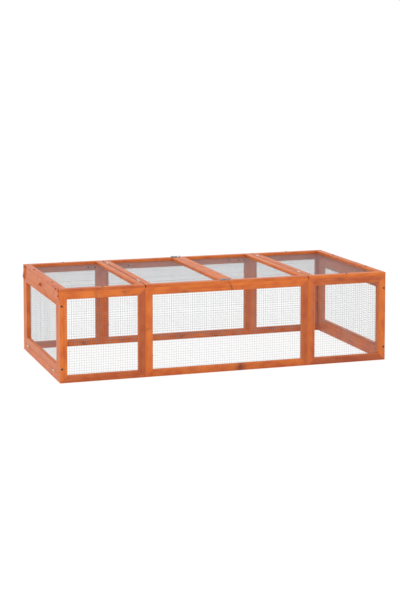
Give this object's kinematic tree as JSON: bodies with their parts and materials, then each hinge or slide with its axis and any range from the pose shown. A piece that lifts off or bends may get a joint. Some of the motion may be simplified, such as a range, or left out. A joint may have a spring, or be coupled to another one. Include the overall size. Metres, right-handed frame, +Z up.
{
  "type": "outdoor rabbit run",
  "caption": "Low open-bottomed timber run with wire mesh walls, mitred roof frames, hinged and bolted roof lids and a drop-down end door.",
  "frame": {"origin": "middle of the run's footprint on the ground", "axes": "+X along the front towards the fixed end, +Y from the front wall to the back wall, +Z up"},
  "size_m": [1.8081, 0.905, 0.4902],
  "materials": {
    "stained_fir": "orange-brown stain, satin",
    "welded_wire": "galvanised, dull",
    "zinc_hardware": "zinc plated, satin",
    "dark_screws": "dark passivated, satin"
  },
  "bodies": {
    "frame": {"front_left_stiles": "stained_fir", "front_left_rails": "stained_fir", "front_left_mesh": "welded_wire", "front_centre_stiles": "stained_fir", "front_centre_rails": "stained_fir", "front_centre_mesh": "welded_wire", "front_right_stiles": "stained_fir", "front_right_rails": "stained_fir", "front_right_mesh": "welded_wire", "back_left_stiles": "stained_fir", "back_left_rails": "stained_fir", "back_left_mesh": "welded_wire", "back_centre_stiles": "stained_fir", "back_centre_rails": "stained_fir", "back_centre_mesh": "welded_wire", "back_right_stiles": "stained_fir", "back_right_rails": "stained_fir", "back_right_mesh": "welded_wire", "left_end_posts": "stained_fir", "left_end_rails": "stained_fir", "right_end_stiles": "stained_fir", "right_end_rails": "stained_fir", "right_end_mesh": "welded_wire", "roof_left_stiles": "stained_fir", "roof_left_rails": "stained_fir", "roof_left_mesh": "welded_wire", "roof_right_stiles": "stained_fir", "roof_right_rails": "stained_fir", "roof_right_mesh": "welded_wire", "lid_hinge_frame_leaves": "zinc_hardware", "lid_hinge_pins": "zinc_hardware", "end_hinge_frame_leaves": "zinc_hardware", "end_hinge_pins": "zinc_hardware", "corner_ties": "stained_fir", "wall_screws": "dark_screws", "panel_screws": "dark_screws", "roof_screws": "dark_screws", "end_hardware_screws": "dark_screws", "frame_hinge_screws": "zinc_hardware"},
    "left_lid": {"lid_left_stiles": "stained_fir", "lid_left_rails": "stained_fir", "lid_left_mesh": "welded_wire", "lid_left_hinge_leaves": "zinc_hardware", "bolt_plates": "zinc_hardware", "lid_left_screws": "dark_screws"},
    "right_lid": {"lid_right_stiles": "stained_fir", "lid_right_rails": "stained_fir", "lid_right_mesh": "welded_wire", "lid_right_hinge_leaves": "zinc_hardware", "bolt_keepers": "zinc_hardware", "lid_right_screws": "dark_screws"},
    "front_bolt": {"front_bolt_rod": "zinc_hardware"},
    "back_bolt": {"back_bolt_rod": "zinc_hardware"},
    "end_door": {"end_door_stiles": "stained_fir", "end_door_rails": "stained_fir", "end_door_mesh": "welded_wire", "end_hinge_door_leaves": "zinc_hardware", "end_door_screws": "zinc_hardware"},
    "turn_button": {"end_button": "stained_fir"}
  },
  "joints": [
    {"name": "left_lid_hinge", "type": "hinge", "parent": "frame", "child": "left_lid", "pos_m": [-0.45, 0, 0.4825], "axis": [0, -1, 0], "range_deg": [0, 170]},
    {"name": "right_lid_hinge", "type": "hinge", "parent": "frame", "child": "right_lid", "pos_m": [0.45, 0, 0.4825], "axis": [0, 1, 0], "range_deg": [0, 170]},
    {"name": "front_bolt_slide", "type": "slide", "parent": "left_lid", "child": "front_bolt", "axis": [1, 0, 0], "range_m": [0, 0.015]},
    {"name": "back_bolt_slide", "type": "slide", "parent": "left_lid", "child": "back_bolt", "axis": [1, 0, 0], "range_m": [0, 0.015]},
    {"name": "end_door_hinge", "type": "hinge", "parent": "frame", "child": "end_door", "pos_m": [-0.9025, 0, 0.0405], "axis": [0, -1, 0], "range_deg": [0, 95]},
    {"name": "turn_button_pivot", "type": "hinge", "parent": "frame", "child": "turn_button", "pos_m": [-0.9028, -0.005, 0.436], "axis": [-1, 0, 0], "range_deg": [0, 90]}
  ]
}
